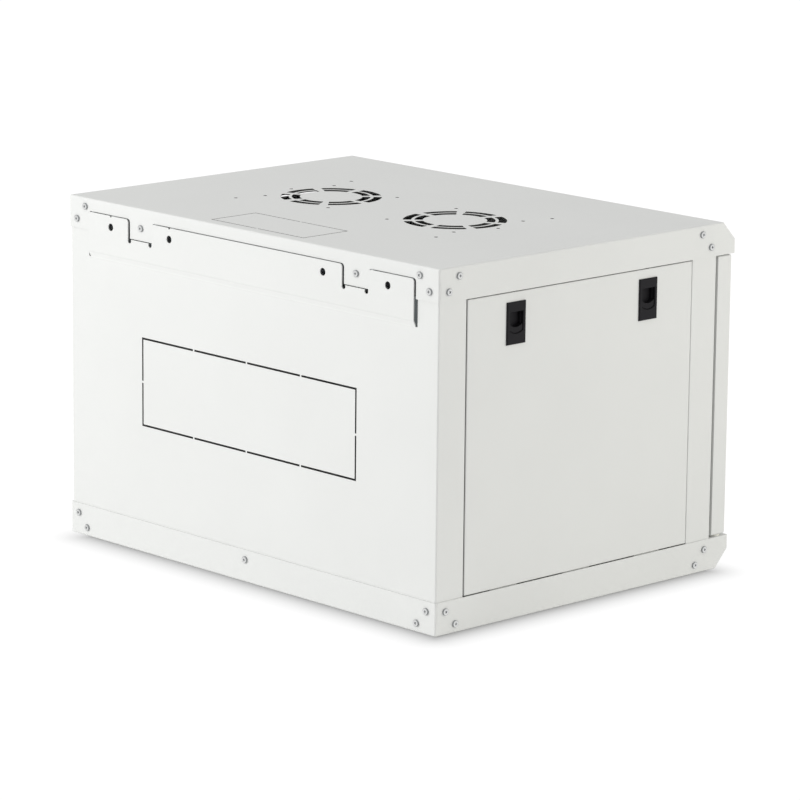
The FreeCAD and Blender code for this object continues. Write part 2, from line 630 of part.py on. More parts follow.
def make_carrier(side, sign, name, level):
    """A channel from the front post to the back, slotted so that the rails can slide in depth."""
    body = new_body(f"{name}_carrier_{side}")
    rear, front = f"{BACK_SEAT_Y} - lap", f"{POST_REAR_Y} + lap"
    low, high = f"{level} - carrier_high / 2", f"{level} + carrier_high / 2"
    web, lip = f"{sign} * {WEB_X}", f"{sign} * ({WEB_X} + carrier_lip)"
    inner = f"{sign} * ({WEB_X} + carrier_sheet)"
    sketch = new_sketch(body, "XZ", rear)
    outline(sketch, [(web, low), (lip, low), (lip, f"{low} + carrier_sheet"),
                     (inner, f"{low} + carrier_sheet"), (inner, f"{high} - carrier_sheet"),
                     (lip, f"{high} - carrier_sheet"), (lip, high), (web, high)])
    pad(body, sketch, f"{rear} - ({front})", (0, -1, 0))
    tab = f"{sign} * ({WEB_X} + carrier_tab)"
    for start in (rear, f"{front} + carrier_sheet"):
        sketch = new_sketch(body, "XZ", start)
        rectangle(sketch, web, low, tab, high)
        pad(body, sketch, "carrier_sheet", (0, -1, 0))
    sketch = new_sketch(body, "XZ", f"{front} - sheet")
    circle(sketch, f"{sign} * ({WEB_X} + carrier_screw)", level, RACK_HOLE)
    pocket(body, sketch, f"{rear} - ({front}) + 2 * sheet", (0, 1, 0))
    sketch = new_sketch(body, "YZ", f"{sign} * ({WEB_X} - sheet)")
    centre = f"(({rear}) + ({front})) / 2"
    long = f"(({rear}) - ({front}) - 2 * (carrier_slot_end + carrier_bridge)) / 3"
    for place in (-1, 0, 1):
        slot(sketch, f"{centre} + {place} * ({long} + carrier_bridge)", level,
             long, "(2 * (rack_radius + slot_play))")
    pocket(body, sketch, "3 * carrier_sheet", (int(sign), 0, 0))
    return body


RAIL_SCREW_Y = f"({POST_REAR_Y} + lap + carrier_slot_end + rail_in_slot)"
RAIL_Y = f"({RAIL_SCREW_Y} - rail_web / 2)"


def make_rack_rail(side, sign):
    """Upright with square holes at rack spacing, its web bolted to both carriers of its side."""
    body = new_body(f"rack_rail_{side}")
    outer = f"{sign} * ({WEB_X} - lap)"
    inner = f"{sign} * ({WEB_X} - lap - rail_sheet)"
    sketch = new_sketch(body, "XY", "rail_end")
    outline(sketch, [(f"{sign} * rack_open / 2", RAIL_Y), (outer, RAIL_Y),
                     (outer, f"{RAIL_Y} + rail_web"), (inner, f"{RAIL_Y} + rail_web"),
                     (inner, f"{RAIL_Y} + rail_sheet"),
                     (f"{sign} * rack_open / 2", f"{RAIL_Y} + rail_sheet")])
    pad(body, sketch, "height - 2 * rail_end", (0, 0, 1))
    sketch = new_sketch(body, "XZ", f"{RAIL_Y} - sheet")
    start = "(height / 2 - units * unit_pitch / 2 + unit_edge)"
    for hole in range(3):
        block(sketch, f"{sign} * (rack_open / 2 + rack_hole_in)", f"{start} + {hole} * unit_hole",
              "square", "square")
    holes = pocket(body, sketch, "rail_sheet + 2 * sheet", (0, 1, 0))
    before = body.Shape.Volume
    column = body.newObject("PartDesign::LinearPattern", "unit_holes")
    column.Originals = [holes]
    column.Direction = (sketch, ["V_Axis"])
    column.setExpression("Length", bind("(units - 1) * unit_pitch"))
    column.setExpression("Occurrences", bind("units"))
    body.Tip = column
    settle(body, column, before, False)
    drill_sides(body, [(RAIL_SCREW_Y, level) for name, level in LEVELS], RACK_HOLE)
    return body


# ---------------------------------------------------------------- screws, nuts and studs

def pan_screw(place, axis, head_radius, head_high, radius, long):
    """A domed screw whose head sits on place, its shank running along axis."""
    rise = head_high * 0.55
    shoulder = head_high - rise
    ball = (head_radius ** 2 + rise ** 2) / (2 * rise)
    half = head_radius / 2
    crown = FreeCAD.Vector(half, 0, head_high - ball + math.sqrt(ball ** 2 - half ** 2))
    dome = Part.Arc(FreeCAD.Vector(head_radius, 0, shoulder), crown, FreeCAD.Vector(0, 0, head_high))
    corners = [FreeCAD.Vector(0, 0, head_high), FreeCAD.Vector(0, 0, -long),
               FreeCAD.Vector(radius, 0, -long), FreeCAD.Vector(radius, 0, 0),
               FreeCAD.Vector(head_radius, 0, 0), FreeCAD.Vector(head_radius, 0, shoulder)]
    edges = [Part.LineSegment(a, b).toShape() for a, b in zip(corners, corners[1:])]
    profile = Part.Face(Part.Wire(edges + [dome.toShape()]))
    solid = profile.revolve(FreeCAD.Vector(), FreeCAD.Vector(0, 0, 1), 360)
    turn = FreeCAD.Rotation(FreeCAD.Vector(0, 0, -1), FreeCAD.Vector(*axis))
    solid.Placement = FreeCAD.Placement(FreeCAD.Vector(*place), turn)
    return solid


def hex_nut(place, axis, radius, bore, high):
    """A hexagon nut with its seat on place, running along axis."""
    corners = [FreeCAD.Vector(radius, 0, 0)]
    turn_one = FreeCAD.Rotation(FreeCAD.Vector(0, 0, 1), 60)
    for corner in range(6):
        corners.append(turn_one.multVec(corners[-1]))
    solid = Part.Face(Part.makePolygon(corners)).extrude(FreeCAD.Vector(0, 0, high))
    solid = solid.cut(Part.makeCylinder(bore, high))
    turn = FreeCAD.Rotation(FreeCAD.Vector(0, 0, 1), FreeCAD.Vector(*axis))
    solid.Placement = FreeCAD.Placement(FreeCAD.Vector(*place), turn)
    return solid


def body_screw(place, axis):
    return pan_screw(place, axis, value_of("head_radius"), value_of("head_high"),
                     value_of("screw_radius"), value_of("screw_long"))


def make_shell_screws(name, top):
    """The screws in the back wall and in the side walls of the cover or the base."""
    back_y, side_x = value_of("depth / 2"), value_of("width / 2")
    extra = tab_screw_places() if top else [("0", "screw_up")]
    back = [body_screw((value_of(x), back_y, value_of(z)), (0, -1, 0))
            for x, z in back_screw_places(top) + extra]
    side = [body_screw((sign * side_x, value_of(y), value_of(z)), (-sign, 0, 0))
            for sign in (-1, 1) for y, z in side_screw_places(top)]
    return [code_part(f"{name}_back_screws", Part.makeCompound(back)),
            code_part(f"{name}_side_screws", Part.makeCompound(side))]


def make_carrier_fixings():
    """Screws from the posts into the carriers' end tabs, each with its nut."""
    play = value_of("lap")
    back_face = value_of(f"{BACK_SEAT_Y} + sheet")
    back_nut = value_of(f"{BACK_SEAT_Y} - lap - carrier_sheet") - play
    front_face = value_of(f"{POST_REAR_Y} - sheet")
    front_nut = value_of(f"{POST_REAR_Y} + lap + carrier_sheet") + play
    sizes = [value_of(text) for text in ("rack_head", "rack_head_high", "rack_radius", "screw_long")]
    screws, nuts = [], []
    for x_text, z_text in carrier_screw_places():
        x_at, z_at = value_of(x_text), value_of(z_text)
        for face, seat, way in ((back_face, back_nut, -1), (front_face, front_nut, 1)):
            screws.append(pan_screw((x_at, face - way * play, z_at), (0, way, 0), *sizes))
            nuts.append(hex_nut((x_at, seat, z_at), (0, way, 0), value_of("nut_radius"),
                                value_of(RACK_HOLE), value_of("nut_high")))
    return [code_part("carrier_screws", Part.makeCompound(screws)),
            code_part("carrier_nuts", Part.makeCompound(nuts))]


def make_rail_fixings():
    """Screws through the rail webs and the carrier slots, each with its nut outside."""
    play = value_of("lap")
    head_at = value_of(f"{WEB_X} - lap - rail_sheet") - play
    nut_at = value_of(f"{WEB_X} + carrier_sheet") + play
    y_at = value_of(RAIL_SCREW_Y)
    sizes = [value_of(text) for text in ("rack_head", "rack_head_high", "rack_radius", "screw_long")]
    screws, nuts = [], []
    for sign in (-1, 1):
        for name, level in LEVELS:
            z_at = value_of(level)
            screws.append(pan_screw((sign * head_at, y_at, z_at), (sign, 0, 0), *sizes))
            nuts.append(hex_nut((sign * nut_at, y_at, z_at), (sign, 0, 0), value_of("nut_radius"),
                                value_of(RACK_HOLE), value_of("nut_high")))
    return [code_part("rail_screws", Part.makeCompound(screws)),
            code_part("rail_nuts", Part.makeCompound(nuts))]


def make_earth_point():
    """Stud standing on the base near the back, with a nut for the earth lead."""
    y_at = value_of("depth / 2 - roof_plate_back - roof_plate_deep - earth_back")
    floor, play = value_of("sheet"), value_of("lap")
    radius = value_of("earth_radius")
    head = Part.makeCylinder(2 * radius, 2 * play, FreeCAD.Vector(0, y_at, floor))
    shank = Part.makeCylinder(radius, value_of("earth_long"), FreeCAD.Vector(0, y_at, floor))
    stud = head.fuse(shank).removeSplitter()
    nut = hex_nut((0, y_at, floor + 3 * play), (0, 0, 1), value_of("nut_radius"),
                  value_of(RACK_HOLE), value_of("nut_high"))
    return [code_part("earth_stud", stud), code_part("earth_nut", nut)]


# ---------------------------------------------------------------- door

WINDOW_X = "(width / 2 - sheet - lap - window_side)"
WINDOW_LOW = f"({DOOR_LOW} + window_band)"
WINDOW_TOP = f"({DOOR_TOP} - window_band)"
LOCK_X = "(width / 2 - sheet - lap - lock_in)"
LOCK_Z = "(height / 2)"


def make_door_frame():
    """A shallow folded pan with a window, lipped all round its back."""
    body = new_body("door_frame")
    sketch = new_sketch(body, "XZ", DOOR_BACK)
    rectangle(sketch, f"-{INSIDE_X}", DOOR_LOW, INSIDE_X, DOOR_TOP)
    pad(body, sketch, "door_thick", (0, -1, 0))
    round_edges(body, "bend", lambda edge: near(middle_of(edge).y, DOOR_FRONT) or runs_along(edge, "Y"))
    sketch = new_sketch(body, "XZ", f"{DOOR_FRONT} + sheet")
    rectangle(sketch, f"-({INSIDE_X} - sheet)", f"{DOOR_LOW} + sheet",
              f"{INSIDE_X} - sheet", f"{DOOR_TOP} - sheet")
    pocket(body, sketch, "door_thick - 2 * sheet", (0, 1, 0))
    sketch = new_sketch(body, "XZ", f"{DOOR_BACK} - 2 * sheet")
    rectangle(sketch, f"-({INSIDE_X} - door_lip)", f"{DOOR_LOW} + door_lip",
              f"{INSIDE_X} - door_lip", f"{DOOR_TOP} - door_lip")
    pocket(body, sketch, "3 * sheet", (0, 1, 0))
    sketch = new_sketch(body, "XZ", f"{DOOR_FRONT} - sheet")
    rectangle(sketch, f"-{WINDOW_X}", WINDOW_LOW, WINDOW_X, WINDOW_TOP)
    pocket(body, sketch, "3 * sheet", (0, 1, 0))
    round_edges(body, "window_corner", lambda edge: runs_along(edge, "Y") and
                near(abs(middle_of(edge).x), WINDOW_X))
    sketch = new_sketch(body, "XZ", f"{DOOR_FRONT} - sheet")
    circle(sketch, LOCK_X, LOCK_Z, "lock_radius + screw_play")
    pocket(body, sketch, "3 * sheet", (0, 1, 0))
    for level in (f"{DOOR_LOW} + 2 * sheet", f"{DOOR_TOP} + sheet"):
        sketch = new_sketch(body, "XY", level)
        circle(sketch, HINGE_X, HINGE_Y, "hinge_radius + hinge_play")
        pocket(body, sketch, "3 * sheet", (0, 0, -1))
    return body


def make_glass_seal():
    body = new_body("glass_seal")
    sketch = new_sketch(body, "XZ", f"{DOOR_FRONT} + sheet + seal_thick")
    edge = "(glass_lap - 1)"
    rectangle(sketch, f"-({WINDOW_X} + {edge})", f"{WINDOW_LOW} - {edge}",
              f"{WINDOW_X} + {edge}", f"{WINDOW_TOP} + {edge}")
    inner = f"({edge} - seal_wide)"
    rectangle(sketch, f"-({WINDOW_X} + {inner})", f"{WINDOW_LOW} - {inner}",
              f"{WINDOW_X} + {inner}", f"{WINDOW_TOP} + {inner}")
    pad(body, sketch, "seal_thick", (0, -1, 0))
    return body


GLASS_FRONT = f"({DOOR_FRONT} + sheet + seal_thick)"


def make_door_glass():
    body = new_body("door_glass")
    sketch = new_sketch(body, "XZ", f"{GLASS_FRONT} + glass_thick")
    rectangle(sketch, f"-({WINDOW_X} + glass_lap)", f"{WINDOW_LOW} - glass_lap",
              f"{WINDOW_X} + glass_lap", f"{WINDOW_TOP} + glass_lap")
    pad(body, sketch, "glass_thick", (0, -1, 0))
    round_edges(body, "lap * 2", lambda edge: near(middle_of(edge).y, GLASS_FRONT))
    return body


def make_glass_clips():
    """Stepped clips that hold the glass against its seal, three above and three below."""
    front, glass = value_of(f"{DOOR_FRONT} + sheet"), value_of(f"{GLASS_FRONT} + glass_thick")
    wide, reach = value_of("clip_wide"), value_of("clip_reach")
    thick, play = value_of("clip_sheet"), value_of("lap")
    clips = []
    for edge_z, way in ((value_of(f"{WINDOW_LOW} - glass_lap"), -1),
                        (value_of(f"{WINDOW_TOP} + glass_lap"), 1)):
        near_z, far_z = edge_z + way * play, edge_z + way * (play + reach)
        back = glass + play + thick
        profile = [(front, near_z), (front, far_z), (front + thick, far_z),
                   (front + thick, near_z + way * thick), (back, near_z + way * thick),
                   (back, edge_z - way * reach), (back - thick, edge_z - way * reach),
                   (back - thick, near_z), (front, near_z)]
        for column in (-1, 0, 1):
            start_x = column * value_of("clip_pitch") - wide / 2
            corners = [FreeCAD.Vector(start_x, y, z) for y, z in profile]
            face = Part.Face(Part.makePolygon(corners))
            clips.append(face.extrude(FreeCAD.Vector(wide, 0, 0)))
    return code_part("glass_clips", Part.makeCompound(clips))


def turned(name, centre_x, centre_y, steps):
    """A turned piece on a vertical axis: (radius, low z, high z) steps from the bottom up."""
    body = new_body(name)
    sketch = new_sketch(body, "XZ", centre_y, centre_x)
    rim = [("0", steps[0][1])]
    for radius, low, high in steps:
        rim += [(radius, low), (radius, high)]
    outline(sketch, rim + [("0", steps[-1][2])])
    spun = body.newObject("PartDesign::Revolution", name + "_turned")
    spun.Profile = sketch
    spun.ReferenceAxis = (sketch, ["V_Axis"])
    spun.Angle = 360
    doc.recompute()
    return body


def make_lower_hinge():
    """Pin riveted under the base's nose, and the washer that carries the door."""
    pin = turned("lower_hinge_pin", HINGE_X, HINGE_Y, [
        ("flange_radius", "band - sheet - lap - flange_thick", "band - sheet - lap"),
        ("hinge_radius", "band - sheet - lap", f"{DOOR_LOW} + hinge_grip")])
    washer = new_body("hinge_washer")
    sketch = new_sketch(washer, "XY", "band")
    circle(sketch, HINGE_X, HINGE_Y, "washer_radius")
    circle(sketch, HINGE_X, HINGE_Y, "hinge_radius + hinge_play")
    pad(washer, sketch, "washer_thick", (0, 0, 1))
    return [pin, washer]


PIN_TOP = "(height - band + sheet + hinge_grip / 2)"
COLLAR_Z = f"({DOOR_TOP} - collar_drop)"
GUIDE_Z = f"({DOOR_TOP} - guide_drop)"


def make_upper_hinge():
    """Spring-loaded pin with a finger lever, its guide bracket, and its coil spring."""
    pin = turned("upper_hinge_pin", HINGE_X, HINGE_Y, [
        ("hinge_radius", f"{PIN_TOP} - pin_long", COLLAR_Z),
        ("collar_radius", COLLAR_Z, f"{COLLAR_Z} + collar_thick"),
        ("hinge_radius", f"{COLLAR_Z} + collar_thick", PIN_TOP)])
    sketch = new_sketch(pin, "YZ", HINGE_X)
    circle(sketch, HINGE_Y, f"{COLLAR_Z} + collar_thick + lever_radius * 2", "lever_radius")
    pad(pin, sketch, "lever_long", (1, 0, 0))

    guide = new_body("hinge_pin_guide")
    wall_x = f"(-{INSIDE_X} + sheet + lap)"
    sketch = new_sketch(guide, "XZ", f"{HINGE_Y} + guide_wide / 2")
    far_x = f"{HINGE_X} + collar_radius + guide_sheet"
    outline(sketch, [(wall_x, GUIDE_Z), (far_x, GUIDE_Z), (far_x, f"{GUIDE_Z} + guide_sheet"),
                     (f"{wall_x} + guide_sheet", f"{GUIDE_Z} + guide_sheet"),
                     (f"{wall_x} + guide_sheet", f"{GUIDE_Z} + guide_high"),
                     (wall_x, f"{GUIDE_Z} + guide_high")])
    pad(guide, sketch, "guide_wide", (0, -1, 0))
    sketch = new_sketch(guide, "XY", f"{GUIDE_Z} + 3 * guide_sheet")
    circle(sketch, HINGE_X, HINGE_Y, "hinge_radius + hinge_play")
    pocket(guide, sketch, "4 * guide_sheet", (0, 0, -1))

    # coil between the guide and the pin's collar, closed a little short at both ends
    wire = value_of("coil_wire") / 2
    low = value_of(f"{GUIDE_Z} + guide_sheet") + wire + value_of("lap")
    high = value_of(COLLAR_Z) - wire - value_of("lap")
    coil_radius = value_of("(collar_radius + hinge_radius) / 2")
    turns = value_of("coil_turns")
    helix = Part.makeHelix((high - low) / turns, high - low, coil_radius)
    ring = Part.Wire(Part.Circle(FreeCAD.Vector(coil_radius, 0, 0), FreeCAD.Vector(0, 1, 0),
                                 wire).toShape())
    coil = Part.Wire(helix.Edges).makePipeShell([ring], True, True)
    coil.translate(FreeCAD.Vector(value_of(HINGE_X), value_of(HINGE_Y), low))
    return [pin, guide, code_part("hinge_pin_spring", coil)]


# ---------------------------------------------------------------- door lock

def lock_cylinder(name, steps, bore=None):
    """A turned lock piece on an axis along Y: (radius, start y, length) steps from the front."""
    body = new_body(name)
    for radius, start, long in steps:
        sketch = new_sketch(body, "XZ", start)
        circle(sketch, LOCK_X, LOCK_Z, radius)
        pad(body, sketch, long, (0, 1, 0))
    if bore:
        sketch = new_sketch(body, "XZ", f"{steps[0][1]} - sheet")
        circle(sketch, LOCK_X, LOCK_Z, bore)
        pocket(body, sketch, "lock_head + lock_long + 3 * sheet", (0, 1, 0))
    return body


CAM_Y = f"({POST_FACE_Y} + sheet + cam_gap)"


def make_lock():
    """Barrel, nut, keyed plug, and the cam that turns behind the post's front lip."""
    head_y = f"({DOOR_FRONT} - lock_head)"
    barrel = lock_cylinder("lock_barrel", [("lock_head_radius", head_y, "lock_head"),
                                           ("lock_radius", DOOR_FRONT, "lock_long")],
                           "plug_radius + plug_play")
    round_edges(barrel, "lock_head / 3", lambda edge: near(middle_of(edge).y, head_y) and
                edge.BoundBox.XLength > value_of("2 * lock_radius"))
    nut = code_part("lock_nut", hex_nut(
        (value_of(LOCK_X), value_of(f"{DOOR_FRONT} + sheet"), value_of(LOCK_Z)), (0, 1, 0),
        value_of("lock_nut"), value_of("lock_radius + plug_play"), value_of("lock_nut_thick")))

    end_y = f"({CAM_Y} + cam_thick + 2 * lap)"
    plug = lock_cylinder("lock_plug", [("plug_radius", head_y, f"{CAM_Y} - lap - {head_y}")])
    sketch = new_sketch(plug, "XZ", f"{CAM_Y} - lap")
    block(sketch, LOCK_X, LOCK_Z, "cam_square", "cam_square")
    pad(plug, sketch, "cam_thick + 3 * lap", (0, 1, 0))
    sketch = new_sketch(plug, "XZ", f"{head_y} - sheet")
    block(sketch, LOCK_X, LOCK_Z, "key_wide", "key_high")
    pocket(plug, sketch, "key_deep", (0, 1, 0))
    sketch = new_sketch(plug, "XZ", f"{end_y} + sheet")
    circle(sketch, LOCK_X, LOCK_Z, SCREW_HOLE)
    pocket(plug, sketch, "screw_long", (0, -1, 0))

    cam = new_body("lock_cam")
    sketch = new_sketch(cam, "XZ", CAM_Y)
    rectangle(sketch, f"{LOCK_X} - cam_wide / 2", f"{LOCK_Z} - cam_wide / 2",
              f"{LOCK_X} + cam_wide / 2", f"{LOCK_Z} + cam_long")
    pad(cam, sketch, "cam_thick", (0, 1, 0))
    round_edges(cam, "cam_wide / 2 - lap", lambda edge: runs_along(edge, "Y"))
    sketch = new_sketch(cam, "XZ", f"{CAM_Y} - sheet")
    block(sketch, LOCK_X, LOCK_Z, "cam_square + 2 * plug_play", "cam_square + 2 * plug_play")
    pocket(cam, sketch, "cam_thick + 2 * sheet", (0, 1, 0))
    screw = code_part("cam_screw", pan_screw(
        (value_of(LOCK_X), value_of(end_y), value_of(LOCK_Z)), (0, -1, 0), value_of("rack_head"),
        value_of("head_high"), value_of("screw_radius"), value_of("screw_long - 2 * sheet")))
    return [barrel, nut, plug, cam, screw]


# ---------------------------------------------------------------- side panels and latches

PANEL_REAR = f"({BACK_SEAT_Y} - side_gap_rear)"
PANEL_FRONT = f"({POST_REAR_Y} + side_gap_front)"
PANEL_LOW = "(band + side_gap_low)"
PANEL_TOP = "(height - band - side_gap_top)"
PANEL_MID = f"(({PANEL_REAR} + {PANEL_FRONT}) / 2)"
LATCH_Z = f"({PANEL_TOP} - latch_drop)"
LATCHES = (("rear", f"({PANEL_MID} + latch_pitch / 2)"), ("front", f"({PANEL_MID} - latch_pitch / 2)"))
BOLT_X = "(width / 2 - sheet - lap - sheet - slide_play)"


def make_side_panel(side, sign):
    """A shallow pan that swings in at the top, its hooks welded under its lower flange.

    The rear flange stands in from the edge of the sheet, clear of the post."""
    body = new_body(f"side_panel_{side}")
    inward = (-int(sign), 0, 0)
    face = f"{sign} * {INSIDE_X}"
    sketch = new_sketch(body, "YZ", face)
    rectangle(sketch, PANEL_FRONT, PANEL_LOW, PANEL_REAR, PANEL_TOP)
    pad(body, sketch, "sheet", inward)
    sketch = new_sketch(body, "YZ", face)
    rectangle(sketch, PANEL_FRONT, PANEL_LOW, f"{PANEL_REAR} - pan_inset", PANEL_TOP)
    pad(body, sketch, "pan_deep", inward)
    round_edges(body, "bend / 2", lambda edge: near(middle_of(edge).x, face))
    sketch = new_sketch(body, "YZ", f"{sign} * ({INSIDE_X} - sheet)")
    rectangle(sketch, f"{PANEL_FRONT} + sheet", f"{PANEL_LOW} + sheet",
              f"{PANEL_REAR} - pan_inset - sheet", f"{PANEL_TOP} - sheet")
    pocket(body, sketch, "pan_deep", inward)
    sketch = new_sketch(body, "YZ", f"{sign} * ({INSIDE_X} - sheet - hook_step)")
    for place in (-1, 0, 1):
        centre = f"{PANEL_MID} + {place} * hook_pitch"
        rectangle(sketch, f"{centre} - hook_wide / 2", f"{PANEL_LOW} - hook_deep",
                  f"{centre} + hook_wide / 2", f"{PANEL_LOW} + sheet / 2")
    pad(body, sketch, "sheet", inward)
    sketch = new_sketch(body, "YZ", f"{sign} * ({INSIDE_X} + sheet)")
    for name, centre in LATCHES:
        block(sketch, centre, LATCH_Z, "case_wide + 2 * case_play", "case_high + 2 * case_play")
    pocket(body, sketch, "3 * sheet", inward)
    sketch = new_sketch(body, "XY", f"{PANEL_TOP} + sheet")
    for name, centre in LATCHES:
        block(sketch, f"{sign} * ({BOLT_X} - bolt_thick / 2)", centre,
              "bolt_thick + 4 * slide_play", "bolt_wide + 4 * slide_play")
    pocket(body, sketch, "3 * sheet", (0, 0, -1))
    return body


def make_latch_case(side, sign, name, centre):
    """Plastic case snapped into the panel: a bezel with a window, and walls that guide the slide."""
    body = new_body(f"latch_case_{side}_{name}")
    inward = (-int(sign), 0, 0)
    face = f"{sign} * ({INSIDE_X} + bezel_thick)"
    sketch = new_sketch(body, "YZ", face)
    block(sketch, centre, LATCH_Z, "latch_wide", "latch_high")
    pad(body, sketch, "bezel_thick - lap / 4", inward)
    round_edges(body, "bezel_round", lambda edge: near(middle_of(edge).x, face))
    sketch = new_sketch(body, "YZ", f"{sign} * ({INSIDE_X} + lap / 4)")
    block(sketch, centre, LATCH_Z, "case_wide", "case_high")
    pad(body, sketch, "case_deep", inward)

    # the channel of the slide, closed behind and under the bezel
    sketch = new_sketch(body, "YZ", f"{sign} * {BOLT_X} + {sign} * slide_play")
    block(sketch, centre, LATCH_Z, "slide_wide + 2 * slide_play",
          "slide_high + slide_travel + 2 * slide_play")
    pocket(body, sketch, "slide_thick + 2 * slide_play", inward)
    sketch = new_sketch(body, "YZ", f"{sign} * ({INSIDE_X} + 2 * bezel_thick)")
    arched(sketch, centre, f"({LATCH_Z} - view_low)", f"({LATCH_Z} + view_top)",
           "view_wide", "view_bow")
    pocket(body, sketch, "2 * bezel_thick + 2 * sheet", inward)
    round_edges(body, "lap * 3", lambda edge: near(middle_of(edge).x, face) and
                near(middle_of(edge).y, centre, value_of("view_wide / 2 + lap")) and
                near(middle_of(edge).z, LATCH_Z, value_of("view_top + lap")))
    sketch = new_sketch(body, "XY", f"{LATCH_Z} + case_high / 2 + sheet")
    block(sketch, f"{sign} * ({BOLT_X} - bolt_thick / 2)", centre,
          "bolt_thick + 2 * slide_play", "bolt_wide + 2 * slide_play")
    pocket(body, sketch, "case_wall * 2 + sheet", (0, 0, -1))

    # snap barbs behind the panel sheet
    for way in ("-1", "1"):
        sketch = new_sketch(body, "XY", f"{LATCH_Z} - barb_high / 2")
        edge = f"{centre} + {way} * (case_wide / 2 - lap)"
        outline(sketch, [(f"{sign} * ({INSIDE_X} - sheet - lap)", edge),
                         (f"{sign} * ({INSIDE_X} - sheet - lap)", f"{edge} + {way} * (barb_out + lap)"),
                         (f"{sign} * ({INSIDE_X} - sheet - lap - 3 * barb_out)", edge)])
        pad(body, sketch, "barb_high", (0, 0, 1))
    return body


def make_latch_slide(side, sign, name, centre):
    """The finger slide with its thumb lip and scoop, and the bolt that rises behind the cover."""
    body = new_body(f"latch_slide_{side}_{name}")
    inward = (-int(sign), 0, 0)
    low = f"({LATCH_Z} - (slide_high + slide_travel) / 2)"
    sketch = new_sketch(body, "YZ", f"{sign} * {BOLT_X}")
    rectangle(sketch, f"{centre} - slide_wide / 2", low, f"{centre} + slide_wide / 2",
              f"{low} + slide_high")
    pad(body, sketch, "slide_thick", inward)

    # thumb lip standing in the window, then the finger scoop down to it, bowed like the window
    sketch = new_sketch(body, "YZ", f"{sign} * {BOLT_X}")
    arched(sketch, centre, f"({LATCH_Z} - view_low + 2 * slide_play)", f"({LATCH_Z} - scoop_low)",
           "view_wide - 4 * slide_play", "view_bow")
    pad(body, sketch, "thumb_high", (int(sign), 0, 0))
    sketch = new_sketch(body, "YZ", f"{sign} * ({BOLT_X} + thumb_high + sheet)")
    arched(sketch, centre, f"({LATCH_Z} - scoop_low)", f"({LATCH_Z} + view_top)",
           "scoop_wide", "scoop_bow")
    pocket(body, sketch, "scoop_deep + thumb_high + sheet", inward)
    sketch = new_sketch(body, "YZ", f"{sign} * {BOLT_X}")
    rectangle(sketch, f"{centre} - bolt_wide / 2", f"{low} + slide_high - sheet",
              f"{centre} + bolt_wide / 2", PANEL_TOP)
    pad(body, sketch, "bolt_thick", inward)
    return body


# ---------------------------------------------------------------- build everything

nodes = [make_top_cover(), make_base_tray(), make_rear_panel(), make_hanger_bar()]
for side, sign in SIDES:
    nodes.append(make_front_post(side, sign))
    nodes += [make_carrier(side, sign, name, level) for name, level in LEVELS]
    nodes.append(make_rack_rail(side, sign))
nodes += make_shell_screws("cover", True) + make_shell_screws("base", False)
nodes += make_carrier_fixings() + make_rail_fixings() + make_earth_point()
nodes += [make_door_frame(), make_glass_seal(), make_door_glass(), make_glass_clips()]
nodes += make_lower_hinge() + make_upper_hinge() + make_lock()
for side, sign in SIDES:
    nodes.append(make_side_panel(side, sign))
    for name, centre in LATCHES:
        nodes.append(make_latch_case(side, sign, name, centre))
        nodes.append(make_latch_slide(side, sign, name, centre))

doc.recompute()
for item in doc.Objects:
    if "Invalid" in item.State or "Error" in item.State:
        raise RuntimeError(f"{item.Name} is {item.State}")
for node in nodes:
    if node.Shape.isNull() or not node.Shape.isValid():
        raise RuntimeError(f"{node.Label} has no valid shape")
    node.Shape.exportStep(f"parts/{node.Label}.step")
print(f"{len(nodes)} sub-parts written")
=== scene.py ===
"""Dresses the wall cabinet: powder-coated sheet, zinc fixings, plastic latches, glazed door."""
import json
import math

import bpy
from mathutils import Matrix, Vector


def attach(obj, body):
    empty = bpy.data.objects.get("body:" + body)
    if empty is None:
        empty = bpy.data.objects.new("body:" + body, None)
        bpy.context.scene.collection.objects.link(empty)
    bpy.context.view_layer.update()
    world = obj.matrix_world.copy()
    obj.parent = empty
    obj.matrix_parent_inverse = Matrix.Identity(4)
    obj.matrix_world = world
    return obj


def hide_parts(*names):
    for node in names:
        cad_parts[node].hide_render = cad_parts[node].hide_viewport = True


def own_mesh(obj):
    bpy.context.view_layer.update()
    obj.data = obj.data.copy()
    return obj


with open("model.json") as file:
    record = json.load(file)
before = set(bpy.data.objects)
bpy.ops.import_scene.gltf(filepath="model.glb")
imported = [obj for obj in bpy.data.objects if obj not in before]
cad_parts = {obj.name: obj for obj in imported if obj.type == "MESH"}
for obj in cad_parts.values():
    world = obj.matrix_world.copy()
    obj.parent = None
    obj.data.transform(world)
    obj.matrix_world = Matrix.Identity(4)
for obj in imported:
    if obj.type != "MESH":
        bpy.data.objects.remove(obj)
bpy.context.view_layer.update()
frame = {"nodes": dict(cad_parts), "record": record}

# ---------------------------------------------------------------- camera

SENSOR = 36.0
FOCAL_OVER_WIDTH = 5.2967
CAMERA_PLACE = (-3.3662, 3.1831, 1.1892)
CAMERA_TURN = math.radians(226.553)
CAMERA_TILT = math.radians(12.393)
CAMERA_ROLL = math.radians(0.573)


